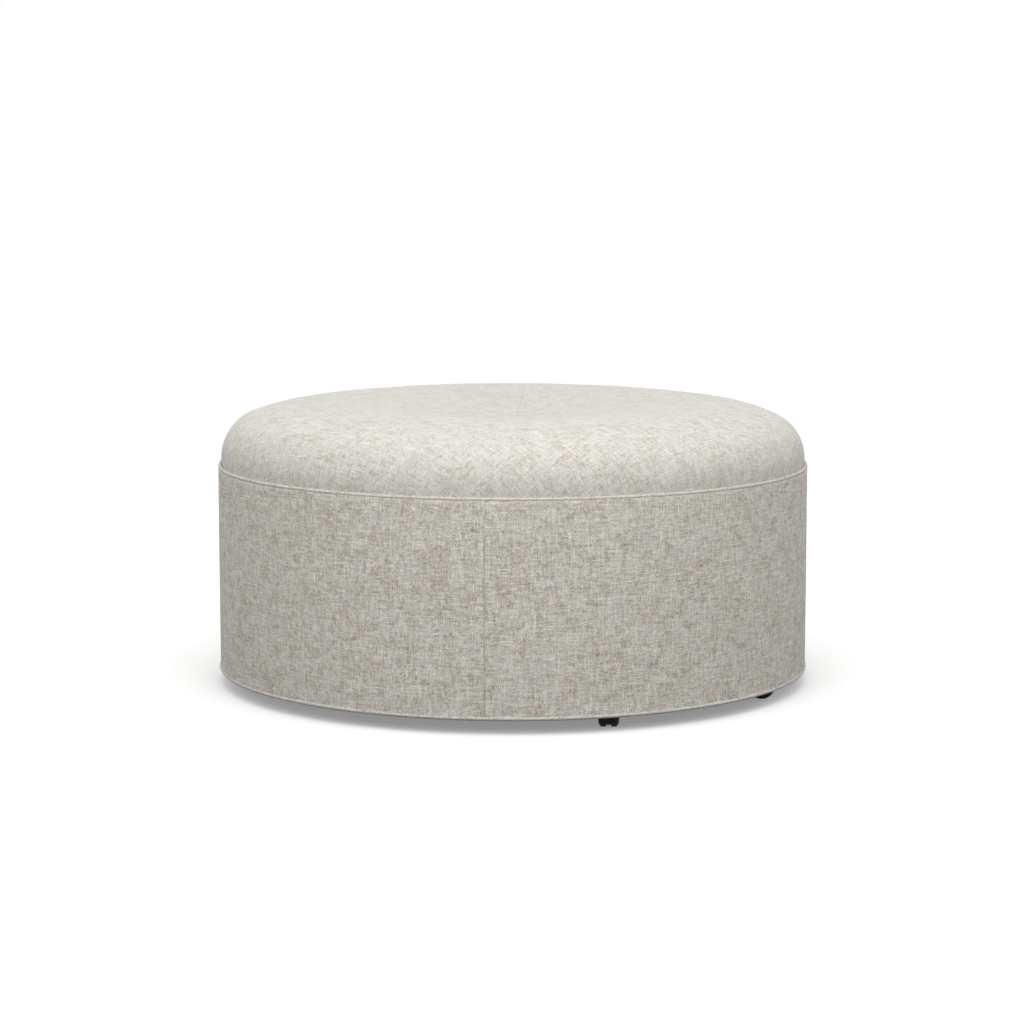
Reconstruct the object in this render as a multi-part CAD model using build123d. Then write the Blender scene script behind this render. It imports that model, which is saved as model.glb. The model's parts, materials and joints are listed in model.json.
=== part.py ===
from build123d import *
from math import cos, hypot, radians, sin, sqrt
import os

# A round upholstered ottoman that stands on four hidden twin-wheel casters. Millimetres, +Z up.
# The origin is on the floor under the centre of the drum, and +X runs along the two rails of its base.

# the drum
drum_radius = 457.2        # over the side band, 36 inches across
upper_welt_height = 338.7  # from the floor to the middle of the piping between top and band
crown_exit = 7.3           # from there up to where the top cloth shows from behind the piping
crown_rise = 86.1          # from there to the highest ring of the top
skirt_gap = 20.6           # from the floor to the piping along the bottom edge
seam_angle = -46.8         # of the band's front seam, in degrees from +X; the other is across from it

# cloth, piping and padding
cloth = 0.8
soft_gap = 0.2             # between soft layers that lie on each other
wadding_thickness = 2.0
wrap_thickness = 14.0      # least depth of the wrap over the foam's edges
welt_diameter = 5.8
upper_welt_inset = 3.2     # from the band's face in to the middle of the piping over it
lower_welt_inset = 1.7     # and of the piping under it, which stands a little proud
welt_flange = 13.0         # sewn edge of the upper piping, behind the band
cover_tuck = 20.0          # the top cloth turned down over the wall
tack_strip_width = 12.0
cambric = 0.6              # the black cloth under the base
cambric_margin = 4.0       # from the edge of that cloth to the wall

# the wooden frame
wall_thickness = 3.2
wall_panel_count = 4
deck_thickness = 15.0
base_thickness = 18.0
base_ring_width = 101.0
post_width = 40.0
post_count = 8
rail_width = 60.0
rail_thickness = 18.0

# the tie that draws the middle of the top down
twine_diameter = 2.0
twine_hole = 8.0
toggle_diameter = 25.0
toggle_thickness = 4.0
knot_diameter = 6.0

# casters
rail_spacing = 294.0       # between the casters of one end, and between the two rails
wheel_diameter = 40.0
wheel_tread = 7.2          # width of the flat tread of one wheel
wheel_dome = 4.2           # how far the outer face bulges past the tread
wheel_cap_diameter = 23.0  # flat middle of the outer face
wheel_edge = 0.8           # bevel between the tread and the inner face
wheel_rim = 3.0            # depth of the rim round the hollow inner side
wheel_hollow = 6.0         # how deep the inner side is hollowed out
wheel_hub_diameter = 10.0
wheel_rib_count = 6
wheel_rib_thickness = 1.4
wheel_rib_inset = 0.6      # of the ribs' edges below the rim
wheel_clearance = 0.6      # between a wheel and the web
axle_diameter = 5.0
axle_wall = 1.7            # left in the wheel over the end of its blind bore
running_gap = 0.05         # on the radius of an axle or pin that turns in its bore
trail = 18.0               # from the swivel's axis to the axle
recess_clearance = 10.0    # between the turning wheels and the wall
hood_gap = 1.2             # between the wheels and the hood over them
hood_thickness = 1.8
hood_clearance = 7.0       # from the hood up to the mounting plate
hood_overhang = 0.5        # of the hood past the wheels, on each side
hood_edge = 0.8            # bevel along the hood's outer edges
hood_start = 38.0          # degrees, from the trailing direction up and over the wheels
hood_end = 168.0
web_thickness = 6.0
web_lift = 2.5             # from the floor up to the round web between the wheels
gusset_thickness = 2.4     # of the fin between socket and shell
socket_diameter = 10.4
collar_diameter = 15.0
collar_thickness = 1.6
collar_gap = 0.3           # between the collar and the kingpin's flange
pin_diameter = 6.0
pin_neck_diameter = 4.8    # the groove that the socket's lip snaps into
pin_neck_length = 2.0
pin_lip_length = 1.4
pin_flange_diameter = 13.0
pin_flange_thickness = 1.6
pin_end_gap = 0.8
plate_width = 38.0
plate_thickness = 2.0
plate_corner = 4.0
plate_holes = 28.0         # between the screw holes, both ways
screw_diameter = 4.2
screw_hole = 4.6
screw_head_diameter = 7.2
screw_head_height = 2.0
screw_length = 14.0
overrun = 5.0              # of a cutting shape past the face that it opens

# the top's outline: each point's distance from the centre, and its height above the crown's base
crown_radius_shares = (0.0, 0.3614, 0.7859, 0.8946, 0.9562, 0.9892)
crown_height_shares = (0.6852, 0.8741, 0.9273, 0.7765, 0.5396, 0.0)

# which way each caster trails at rest, in degrees from +X
caster_headings = (-41.7, 48.3, 118.0, 205.0)
caster_sides = ((1, -1), (1, 1), (-1, 1), (-1, -1))

# radii of the layers, from the outside in
band_inner = drum_radius - cloth
wadding_outer = band_inner - soft_gap
wall_outer = wadding_outer - wadding_thickness
wall_inner = wall_outer - wall_thickness
cover_tuck_outer = wall_outer + cloth
strip_inner = band_inner - cloth
welt_radius = welt_diameter / 2
upper_welt_circle = drum_radius - upper_welt_inset
lower_welt_circle = drum_radius - lower_welt_inset
groove_outer = upper_welt_circle - welt_radius - soft_gap
groove_inner = groove_outer - cloth

# casters in their own frame: the swivel's axis is Z, and the axle lies behind it along +X
wheel_radius = wheel_diameter / 2
wheel_hub_radius = wheel_hub_diameter / 2
wheel_rim_inner = wheel_radius - wheel_rim
wheel_inner = web_thickness / 2 + wheel_clearance
wheel_shoulder = wheel_inner + wheel_tread
wheel_outer = wheel_shoulder + wheel_dome
axle_end = wheel_outer - axle_wall
hood_inner = wheel_radius + hood_gap
hood_outer = hood_inner + hood_thickness
hood_half_width = wheel_outer + hood_overhang
plate_bottom = wheel_radius + hood_outer + hood_clearance
plate_top = plate_bottom + plate_thickness
collar_top = plate_bottom - pin_flange_thickness - collar_gap
socket_bottom = wheel_radius + sqrt(hood_inner**2 - (trail - socket_diameter / 2) ** 2)
wheel_reach = hypot(trail + wheel_radius, wheel_shoulder)
hood_reach = hypot(trail + hood_outer * cos(radians(hood_start)), hood_half_width)
caster_circle = wall_inner - cloth - recess_clearance - max(wheel_reach, hood_reach)
caster_y = rail_spacing / 2
caster_x = sqrt(caster_circle**2 - caster_y**2)

# heights of the layers, from the floor up
band_bottom = skirt_gap + welt_diameter
band_top = upper_welt_height - welt_radius
crown_base = upper_welt_height + crown_exit
base_bottom = plate_top + cambric
base_top = base_bottom + base_thickness
wall_top = band_top - soft_gap - cloth
deck_bottom = wall_top - deck_thickness


def turned(outline, start=0.0, arc=360.0):
    """A solid of revolution about Z: outline() draws the section, distance from Z against height."""
    with BuildPart() as solid:
        with BuildSketch(Plane.XZ):
            with BuildLine():
                outline()
            make_face()
        revolve(axis=Axis.Z, revolution_arc=arc)
    return Rot(0, 0, start) * solid.part


def tube(inner, outer, bottom, top, start=0.0, arc=360.0):
    """A ring or part of one, with a rectangular section."""

    def outline():
        Polyline((inner, bottom), (outer, bottom), (outer, top), (inner, top), close=True)

    return turned(outline, start, arc)


def rod(radius, bottom, top):
    """An upright cylinder on the Z axis."""
    cylinder = Cylinder(radius, top - bottom, align=(Align.CENTER, Align.CENTER, Align.MIN))
    return Pos(0, 0, bottom) * cylinder


def crown_points(inset=0.0):
    """The corners of the top's outline, moved in square to it, each with the line's direction there."""
    corners = [
        Vector(drum_radius * across, crown_base + crown_rise * up)
        for across, up in zip(crown_radius_shares, crown_height_shares)
    ]
    heading = Vector(1, 0)
    points = [(corners[0] - Vector(0, inset), heading)]
    for start, end in zip(corners, corners[1:]):
        chord = (end - start).normalized()
        heading = chord * (2 * chord.dot(heading)) - heading
        points.append((end - Vector(-heading.Y, heading.X) * inset, heading))
    return points


def crown_line(inset):
    """The top's outline as arcs that run smoothly into each other, from the dish out to the base."""
    points = crown_points(inset)
    for (start, heading), (end, _) in zip(points, points[1:]):
        TangentArc(start, end, tangent=heading)
    return points[0][0], points[-1][0]


def crown_cover():
    """The cloth over the top, drawn in behind the piping and turned down outside the wall."""

    def outline():
        outer_dish, outer_end = crown_line(0.0)
        inner_dish, inner_end = crown_line(cloth)
        tuck_bottom = wall_top - cover_tuck
        Polyline(
            outer_end,
            (groove_outer, upper_welt_height),
            (groove_outer, wall_top + cloth),
            (cover_tuck_outer, wall_top + cloth),
            (cover_tuck_outer, tuck_bottom),
            (wall_outer, tuck_bottom),
            (wall_outer, wall_top),
            (groove_inner, wall_top),
            (groove_inner, upper_welt_height),
            inner_end,
        )
        Line(inner_dish, outer_dish)

    return turned(outline)


def foam_corners():
    """The foam is cut with straight bevels, which stay inside the rounded wrap."""
    return [point for point, _ in crown_points(cloth + soft_gap + wrap_thickness)]


def crown_foam():
    corners = foam_corners()

    def outline():
        Polyline((0, wall_top), *corners, (corners[-1].X, wall_top), close=True)

    return turned(outline) - twine_path()


def crown_wrap():
    """The polyester wrap between foam and cover, down to the deck."""
    corners = foam_corners()

    def outline():
        dish, end = crown_line(cloth + soft_gap)
        foot = groove_inner - soft_gap
        Polyline(
            end,
            (foot, upper_welt_height),
            (foot, wall_top),
            (corners[-1].X, wall_top),
            *reversed(corners),
            dish,
        )

    return turned(outline) - twine_path()


def twine_path():
    return rod(twine_diameter / 2, deck_bottom, crown_base + crown_rise)


def tuft_twine():
    """The tie from the seam under the dish down to its knot below the toggle."""
    dish = crown_base + crown_rise * crown_height_shares[0] - cloth
    knot = deck_bottom - toggle_thickness - knot_diameter / 2
    return rod(twine_diameter / 2, knot, dish) + Pos(0, 0, knot) * Sphere(knot_diameter / 2)


def tuft_toggle():
    bottom = deck_bottom - toggle_thickness
    return rod(toggle_diameter / 2, bottom, deck_bottom) - rod(
        twine_diameter / 2, bottom - overrun, deck_bottom + overrun
    )


def bead_corners(circle, height, first, last):
    """Corners of the piping's eight-sided section, counted from its outer side in eighths of a turn."""
    corner_radius = welt_radius / cos(radians(22.5))
    angles = [radians(45 * corner + 22.5) for corner in range(first, last + 1)]
    return [(circle + corner_radius * cos(angle), height + corner_radius * sin(angle)) for angle in angles]


def upper_welt():
    """Piping with its sewn flange, which hangs between the cover's edge and the tack strip."""

    def outline():
        Polyline(*bead_corners(upper_welt_circle, upper_welt_height, 0, 7), close=True)

    return turned(outline) + tube(
        cover_tuck_outer, strip_inner, band_top - welt_flange, upper_welt_height
    )


def lower_welt():
    """Piping whose flange is turned under the wall and pulled up inside it to the base."""
    centre = skirt_gap + welt_radius
    lining = wall_inner - cloth

    def outline():
        Polyline(
            *bead_corners(lower_welt_circle, centre, -4, 1),
            (wall_inner, band_bottom),
            (wall_inner, base_bottom),
            (lining, base_bottom),
            (lining, band_bottom - cloth),
            close=True,
        )

    return turned(outline)


def band_panel(start):
    """Half of the side band, from one upright seam to the other."""
    return tube(band_inner, drum_radius, band_bottom, band_top, start, 180)


def wall_panel(number):
    """A bent hardboard panel, which meets its neighbours in front of a post."""
    arc = 360 / wall_panel_count
    return tube(wall_inner, wall_outer, band_bottom, wall_top, arc * number, arc)


def deck_board():
    """The round board under the foam, drilled for the tie."""
    return rod(wall_inner, deck_bottom, wall_top) - rod(twine_hole / 2, deck_bottom, wall_top)


def post(number):
    """An upright whose outer corners touch the wall."""
    height = deck_bottom - base_top
    outer = sqrt(wall_inner**2 - (post_width / 2) ** 2)
    block = Box(post_width, post_width, height, align=(Align.MAX, Align.CENTER, Align.MIN))
    return Rot(0, 0, 360 / post_count * number) * Pos(outer, 0, base_top) * block


def rail(side):
    """A stretcher over the base ring, in line with the two casters of its side."""
    bar = Pos(0, side * caster_y, base_top) * Box(
        2 * drum_radius, rail_width, rail_thickness, align=(Align.CENTER, Align.CENTER, Align.MIN)
    )
    return bar & rod(wall_inner, base_top, base_top + rail_thickness)


def caster_place(number):
    """Where a caster stands, turned the way it trails."""
    side_x, side_y = caster_sides[number]
    return Pos(side_x * caster_x, side_y * caster_y, 0) * Rot(0, 0, caster_headings[number])


def plate_place(number):
    """A mounting plate stays square to the rails."""
    side_x, side_y = caster_sides[number]
    return Pos(side_x * caster_x, side_y * caster_y, 0)


def screw_places():
    return [
        plate_place(number) * Pos(x * plate_holes / 2, y * plate_holes / 2, 0)
        for number in range(len(caster_sides))
        for x, y in caster_sides
    ]


def screw_shanks(radius):
    """Upright cylinders where the casters' screws go in."""
    shank = rod(radius, plate_bottom, plate_bottom + screw_length)
    return [place * shank for place in screw_places()]


def base_ring():
    ring = tube(wall_inner - base_ring_width, wall_inner, base_bottom, base_top)
    return ring - screw_shanks(screw_diameter / 2)


def dust_cover():
    disc = rod(wall_inner - cloth - cambric_margin, plate_top, base_bottom)
    return disc - screw_shanks(screw_diameter / 2)


def caster_screws():
    """Pan-head screws, four to a plate."""
    head = rod(screw_head_diameter / 2, plate_bottom - screw_head_height, plate_bottom)
    screw = head + rod(screw_diameter / 2, plate_bottom, plate_bottom + screw_length)
    return Compound(children=[place * screw for place in screw_places()])


def plate():
    """Square steel plate with rounded corners, four screw holes and the kingpin's rivet hole."""
    with BuildPart() as solid:
        with BuildSketch(Plane.XY.offset(plate_bottom)):
            RectangleRounded(plate_width, plate_width, plate_corner)
            with GridLocations(plate_holes, plate_holes, 2, 2):
                Circle(screw_hole / 2, mode=Mode.SUBTRACT)
            Circle(pin_diameter / 2, mode=Mode.SUBTRACT)
        extrude(amount=plate_thickness)
    return solid.part


def pin_outline(extra, neck_length):
    """The kingpin's shank below its flange, with its snap neck; extra opens it into the bore."""
    end = socket_bottom + pin_end_gap - extra
    top = plate_bottom - pin_flange_thickness
    middle = (socket_bottom + collar_top) / 2
    wide = pin_diameter / 2 + extra
    narrow = pin_neck_diameter / 2 + extra
    Polyline(
        (0, end),
        (wide, end),
        (wide, middle - neck_length / 2),
        (narrow, middle - neck_length / 2),
        (narrow, middle + neck_length / 2),
        (wide, middle + neck_length / 2),
        (wide, top),
        (0, top),
        close=True,
    )


def kingpin():
    shank = turned(lambda: pin_outline(0.0, pin_neck_length))
    flange = rod(pin_flange_diameter / 2, plate_bottom - pin_flange_thickness, plate_bottom)
    return shank + flange + rod(pin_diameter / 2, plate_bottom, plate_top)


def at_axle(shape):
    """Moves a shape drawn about Z onto the axle, so that its Z runs along the axle."""
    return Pos(trail, 0, wheel_radius) * Rot(90, 0, 0) * shape


def hood():
    """The moulded body: a round web between the wheels, a shell over them and the kingpin's socket."""
    web = at_axle(Cylinder(wheel_radius - web_lift, web_thickness) + sector(web_outline))
    body = at_axle(sector(shell_outline)) + web + gusset()
    body += rod(socket_diameter / 2, socket_bottom, collar_top)
    body += rod(collar_diameter / 2, collar_top - collar_thickness, collar_top)
    body -= turned(lambda: pin_outline(running_gap, pin_lip_length))
    return body - at_axle(Cylinder(axle_diameter / 2, web_thickness + overrun))


def sector(outline):
    """A section turned about the axle, over the arc that the hood covers."""
    return turned(outline, hood_start, hood_end - hood_start)


def shell_outline():
    """The hood's shell, with its outer edges bevelled."""
    side = hood_half_width
    Polyline(
        (hood_inner, -side),
        (hood_outer - hood_edge, -side),
        (hood_outer, hood_edge - side),
        (hood_outer, side - hood_edge),
        (hood_outer - hood_edge, side),
        (hood_inner, side),
        close=True,
    )


def web_outline():
    """The web up to the middle of the shell's thickness."""
    side = web_thickness / 2
    reach = (hood_inner + hood_outer) / 2
    Polyline((0, -side), (reach, -side), (reach, side), (0, side), close=True)


def gusset():
    """A fin that slopes from the socket's collar down to the top of the shell."""
    collar_bottom = collar_top - collar_thickness
    with BuildPart() as fin:
        with BuildSketch(Plane.XZ):
            with BuildLine():
                Polyline(
                    (0, socket_bottom),
                    (trail, socket_bottom),
                    (trail, wheel_radius + hood_outer),
                    (socket_diameter / 2, collar_bottom),
                    (0, collar_bottom),
                    close=True,
                )
            make_face()
        extrude(amount=gusset_thickness / 2, both=True)
    return fin.part - at_axle(Cylinder((hood_inner + hood_outer) / 2, gusset_thickness + overrun))


def axle():
    return at_axle(Cylinder(axle_diameter / 2, 2 * axle_end))


def wheel(side):
    """A flat tread, a domed outer face with a flat cap, and a hollow inner side with hub, ribs and bore."""
    bore = axle_diameter / 2 + running_gap
    floor = wheel_inner + wheel_hollow
    shoulder = (wheel_radius, wheel_shoulder)
    cap = (wheel_cap_diameter / 2, wheel_outer)

    def outline():
        TangentArc(cap, shoulder, tangent=(1, 0))
        Polyline(
            cap,
            (0, wheel_outer),
            (0, axle_end + running_gap),
            (bore, axle_end + running_gap),
            (bore, wheel_inner),
            (wheel_hub_radius, wheel_inner),
            (wheel_hub_radius, floor),
            (wheel_rim_inner, floor),
            (wheel_rim_inner, wheel_inner),
            (wheel_radius - wheel_edge, wheel_inner),
            (wheel_radius, wheel_inner + wheel_edge),
            shoulder,
        )

    return at_axle(Rot(0 if side < 0 else 180, 0, 0) * (turned(outline) + wheel_ribs()))


def wheel_ribs():
    """Radial ribs in the hollow, sunk into hub, rim and floor."""
    middle = (wheel_hub_radius + wheel_rim_inner) / 2
    length = wheel_rim_inner - wheel_hub_radius + wheel_rib_thickness
    height = wheel_hollow - wheel_rib_inset
    bottom = wheel_inner + wheel_rib_inset
    rib = Pos(middle, 0, bottom) * Box(
        length, wheel_rib_thickness, height, align=(Align.CENTER, Align.CENTER, Align.MIN)
    )
    return [Rot(0, 0, 360 / wheel_rib_count * number) * rib for number in range(wheel_rib_count)]


def save(name, shape):
    shape.label = name
    export_step(shape, f"parts/{name}.step")


os.makedirs("parts", exist_ok=True)

save("crown_cover", crown_cover())
save("crown_wrap", crown_wrap())
save("crown_foam", crown_foam())
save("tuft_twine", tuft_twine())
save("tuft_toggle", tuft_toggle())
save("upper_welt", upper_welt())
save("lower_welt", lower_welt())
save("band_right_panel", band_panel(seam_angle))
save("band_left_panel", band_panel(seam_angle + 180))
save("side_wadding", tube(wall_outer, wadding_outer, band_bottom, wall_top - cover_tuck))
save("tack_strip", tube(strip_inner, band_inner, band_top - tack_strip_width, band_top))
save("deck_board", deck_board())
save("base_ring", base_ring())
save("rail_front", rail(-1))
save("rail_back", rail(1))
save("dust_cover", dust_cover())
save("caster_screws", caster_screws())
for number in range(wall_panel_count):
    save(f"wall_panel_{number + 1}", wall_panel(number))
for number in range(post_count):
    save(f"post_{number + 1}", post(number))
for number in range(len(caster_sides)):
    caster = f"caster_{number + 1}"
    save(f"{caster}_plate", plate_place(number) * plate())
    save(f"{caster}_kingpin", plate_place(number) * kingpin())
    save(f"{caster}_hood", caster_place(number) * hood())
    save(f"{caster}_axle", caster_place(number) * axle())
    save(f"{caster}_left_wheel", caster_place(number) * wheel(1))
    save(f"{caster}_right_wheel", caster_place(number) * wheel(-1))
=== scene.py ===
import bisect
import json
import re
from math import atan2, cos, exp, hypot, pi, radians, remainder, sin, sqrt

import bpy
from mathutils import Matrix, Vector, kdtree, noise


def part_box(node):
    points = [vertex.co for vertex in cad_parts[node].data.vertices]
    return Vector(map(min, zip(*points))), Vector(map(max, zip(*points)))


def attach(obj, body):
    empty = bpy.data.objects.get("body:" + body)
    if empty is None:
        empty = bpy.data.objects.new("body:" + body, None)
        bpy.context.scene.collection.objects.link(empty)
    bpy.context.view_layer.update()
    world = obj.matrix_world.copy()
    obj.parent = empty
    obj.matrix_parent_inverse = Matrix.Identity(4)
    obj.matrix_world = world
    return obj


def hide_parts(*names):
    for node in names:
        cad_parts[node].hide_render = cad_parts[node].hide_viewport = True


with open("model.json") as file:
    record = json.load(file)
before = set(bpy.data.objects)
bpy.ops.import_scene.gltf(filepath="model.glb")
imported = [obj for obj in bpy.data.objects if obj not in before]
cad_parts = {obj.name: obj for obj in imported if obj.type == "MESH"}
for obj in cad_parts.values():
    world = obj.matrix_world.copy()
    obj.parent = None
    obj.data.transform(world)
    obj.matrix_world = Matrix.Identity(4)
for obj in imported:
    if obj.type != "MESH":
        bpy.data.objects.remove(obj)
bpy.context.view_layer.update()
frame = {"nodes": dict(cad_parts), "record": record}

# A round cloth ottoman on hidden casters, in metres. The camera looks at the front of the drum,
# which lies 48 degrees round from -Y towards +X.

scene = bpy.context.scene
mm = 0.001
fullTurn = 2 * pi

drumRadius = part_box("band_right_panel")[1].x
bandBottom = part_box("band_right_panel")[0].z
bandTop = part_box("band_right_panel")[1].z
rootBody = "ottoman"
seamAngle = radians(133.2)  # the seam at the back, counted from +X; the front one is across from it


# camera

cameraSet = {
    "lens": 107.52,  # millimetres
    "sensor": 36,
    "farthest": 100,
    "azimuth": radians(48.3),
    "distance": 4.7309,  # along the floor, from the drum's middle
    "height": 0.90534,
    "tiltDown": radians(7.7813),
    "sideStep": -0.00131,
}


def addObject(name, data):
    made = bpy.data.objects.new(name, data)
    scene.collection.objects.link(made)
    return made


def makeCamera():
    turn = cameraSet["azimuth"]
    data = bpy.data.cameras.new("camera")
    data.lens = cameraSet["lens"]
    data.sensor_width = cameraSet["sensor"]
    data.clip_end = cameraSet["farthest"]
    camera = addObject("camera", data)
    away = Vector((sin(turn), -cos(turn), 0)) * cameraSet["distance"]
    side = Vector((cos(turn), sin(turn), 0)) * cameraSet["sideStep"]
    camera.location = away + side + Vector((0, 0, cameraSet["height"]))
    camera.rotation_euler = (pi / 2 - cameraSet["tiltDown"], 0, turn)
    scene.camera = camera


makeCamera()
scene.view_settings.view_transform = "Standard"
print("camera made")


# nodes and their maths


class Reading:
    # what a node gives, which can stand in a sum

    def __init__(self, nodes, socket):
        self.nodes = nodes
        self.socket = socket

    def __add__(self, other):
        return self.nodes.maths("ADD", self, other)

    def __sub__(self, other):
        return self.nodes.maths("SUBTRACT", self, other)

    def __rsub__(self, other):
        return self.nodes.maths("SUBTRACT", other, self)

    def __mul__(self, other):
        return self.nodes.maths("MULTIPLY", self, other)

    def __truediv__(self, other):
        return self.nodes.maths("DIVIDE", self, other)

    __radd__ = __add__
    __rmul__ = __mul__

    def output(self, name):
        # another output of the same node
        return Reading(self.nodes, self.socket.node.outputs[name])


class Nodes:
    # a tree of nodes, whose kinds are written without the prefix that most of them share

    prefix = "ShaderNode"

    def __init__(self, tree):
        self.tree = tree
        tree.nodes.clear()

    def node(self, kind, settings=None, sockets=None, out=0):
        # a list of readings goes into one socket that takes several
        made = self.tree.nodes.new(kind if "Node" in kind else self.prefix + kind)
        for key, value in (settings or {}).items():
            setattr(made, key, value)
        for key, value in (sockets or {}).items():
            socket = made.inputs[key]
            if isinstance(value, (Reading, list)):
                for part in value if isinstance(value, list) else [value]:
                    self.tree.links.new(part.socket, socket)
            elif socket.type == "RGBA":
                socket.default_value = (*value[:3], 1.0)
            else:
                socket.default_value = value
        return Reading(self, made.outputs[out]) if made.outputs else None

    def maths(self, operation, *values):
        return self.node("ShaderNodeMath", {"operation": operation}, dict(enumerate(values)))

    def vector(self, x=0.0, y=0.0, z=0.0):
        return self.node("ShaderNodeCombineXYZ", {}, {0: x, 1: y, 2: z})

    def split(self, place):
        first = self.node("ShaderNodeSeparateXYZ", {}, {0: place})
        return [first.output(axis) for axis in range(3)]

    def noiseAt(self, place, scale, detail=2.0):
        return self.node("ShaderNodeTexNoise", {}, {"Vector": place, "Scale": scale, "Detail": detail})

    def noise(self, x, y, seed, detail=0.0):
        return self.noiseAt(self.vector(x, y, seed), 1.0, detail)


# materials


class Paint(Nodes):
    # one material

    def __init__(self, name):
        self.material = bpy.data.materials.new(name)
        self.material.use_nodes = True
        super().__init__(self.material.node_tree)

    def step(self, value, low, high):
        return self.node("MapRange", {"interpolation_type": "SMOOTHSTEP"}, {0: value, 1: low, 2: high})

    def blendColours(self, share, first, second, how="MIX"):
        return self.node("Mix", {"data_type": "RGBA", "blend_type": how}, {0: share, 6: first, 7: second}, 2)

    def finish(self, colour, relief, height, sockets):
        # relief is how high the bumps of height stand
        bump = self.node("Bump", {}, {"Distance": relief, "Height": height})
        return self.close(self.node("BsdfPrincipled", {}, {"Base Color": colour, "Normal": bump, **sockets}))

    def close(self, shader):
        self.node("OutputMaterial", {}, {"Surface": shader})
        return self.material


linen = {
    "yarn": 1.5 * mm,  # from one yarn to the next, both ways
    "waver": 0.5 * mm,
    "waverSpots": (40, 70),  # to the metre, as all spots here
    "relief": 0.09 * mm,
    "sunk": 0.35,  # how far a yarn goes under the one that crosses it
    "slubSwell": 0.5,
    "slubFrom": (0.58, 0.70),
    "cloudSpots": (45, 120),
    "cloudFrom": (0.44, 0.64),
    "fleckFrom": (0.74, 0.88),
    "brown": (0.24, 0.17, 0.11),  # of the dark flecks
    "hollowShade": 0.1,
    "calmRadii": (0.2, 0.4),  # between these, in metres from the middle of the top, the weave grows plain
}
yarnNoise = {
    # spots along a yarn, step from one yarn to the next, seeds of warp and weft, detail
    "slub": (40, 7.31, 3.1, 5.7, 0.0),
    "shortDash": (320, 9.17, 1.4, 2.6, 1.0),
    "longDash": (45, 4.61, 8.2, 9.8, 0.0),
    "fleck": (260, 5.77, 13.1, 17.9, 0.0),
}
weaves = {
    "linenCloth": {
        "pale": (0.655, 0.635, 0.575), "tan": (0.575, 0.51, 0.42), "contrast": 1.0, "fleck": 0.5,
        "patches": 0.55, "shortDash": 1.1, "longDash": 0.9, "slub": 0.15, "calm": 1.0, "sheen": 0.08,
    },
    # the top's copy of the cloth is painted shade: a darker, cooler ground and a fainter weave than the
    # band's, where light from above falls on the top
    "linenTop": {
        "pale": (0.635, 0.62, 0.575), "tan": (0.56, 0.495, 0.4), "contrast": 0.6, "fleck": 0.42,
        "patches": 0.35, "shortDash": 0.8, "longDash": 0.9, "slub": 0.3, "calm": 0.5, "sheen": 0.15,
    },
    # the piping's copy of the cloth has a darker ground and a fainter weave than the band's: painted shade
    # against the light on its rounded top
    "linenPiping": {
        "pale": (0.63, 0.61, 0.565), "tan": (0.55, 0.485, 0.4), "contrast": 0.5, "fleck": 0.6,
        "patches": 0.3, "shortDash": 1.2, "longDash": 0.4, "slub": 0.1, "calm": 1.0, "sheen": 0.1,
    },
}
clothMiddle = 5.0  # both ways on the map of the cloth, in metres: the middle of the top


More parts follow.
